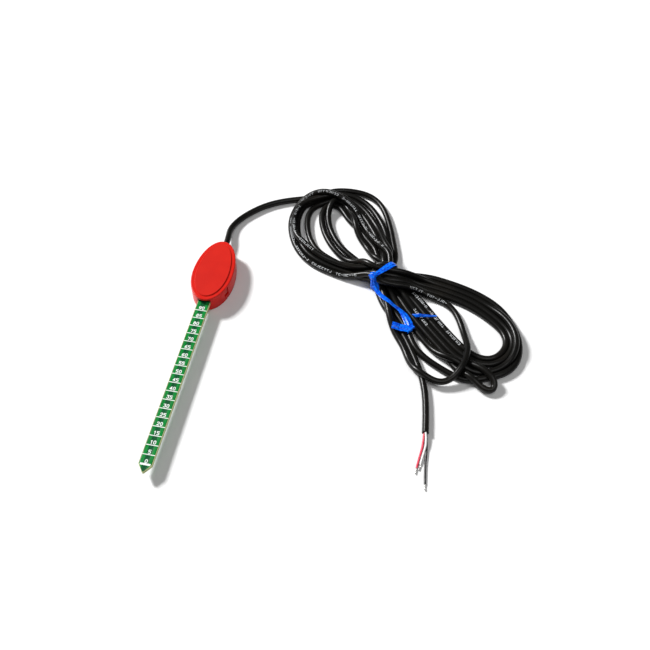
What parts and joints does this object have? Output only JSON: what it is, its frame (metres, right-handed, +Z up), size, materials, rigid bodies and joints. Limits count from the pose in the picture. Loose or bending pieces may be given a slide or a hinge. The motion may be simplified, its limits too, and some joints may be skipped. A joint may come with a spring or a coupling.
{
  "type": "soil moisture sensor",
  "caption": "Soil moisture probe: an egg-shaped red potted head, a graduated pointed circuit-board blade and a tied hank of black three-core cable with bare wire ends.",
  "frame": {"origin": "centre of the head's flat underside, in the middle of its length and width, on the plane that the sensor lies on", "axes": "+Z up out of the lid; -Y along the probe blade towards its tip; +Y out of the cable entry; +X to the right of the blade seen from above with the tip towards the viewer"},
  "size_m": [0.1716, 0.1991, 0.0121],
  "materials": {
    "housing_plastic": "moulded ABS, satin red",
    "lid_plastic": "moulded ABS, satin red",
    "laminate": "glass epoxy laminate, pale yellow green",
    "copper": "bare copper under solder mask",
    "solder_mask": "glossy green solder mask",
    "white_ink": "white screen-printed ink",
    "tin": "tinned copper pads",
    "chip_epoxy": "moulded black epoxy",
    "ceramic": "brown ceramic",
    "resistor_film": "black film on ceramic",
    "jacket": "black PVC jacket",
    "core_red": "red PVC insulation",
    "core_white": "white PVC insulation",
    "core_black": "black PVC insulation",
    "potting_resin": "cured black-brown epoxy resin",
    "tie_plastic": "bright blue PVC strip"
  },
  "bodies": {
    "root": {"housing_tray": "housing_plastic", "housing_lid": "lid_plastic", "board_core": "laminate", "electrode_strips": "copper", "solder_mask_front": "solder_mask", "solder_mask_back": "solder_mask", "scale_lines": "white_ink", "scale_numerals": "white_ink", "solder_pads": "tin", "oscillator_chip": "chip_epoxy", "chip_leads": "tin", "voltage_regulator": "chip_epoxy", "rectifier_diode": "chip_epoxy", "capacitors": "ceramic", "resistors": "resistor_film", "component_terminals": "tin", "cable_stub": "jacket", "inner_core_red": "core_red", "inner_core_white": "core_white", "inner_core_black": "core_black", "solder_joints": "tin", "potting": "potting_resin", "cable_lead": "jacket", "cable_hank": "jacket", "cable_tail": "jacket", "end_core_red": "core_red", "end_core_white": "core_white", "end_core_black": "core_black", "tinned_ends": "tin", "cable_tie": "tie_plastic"}
  },
  "joints": []
}
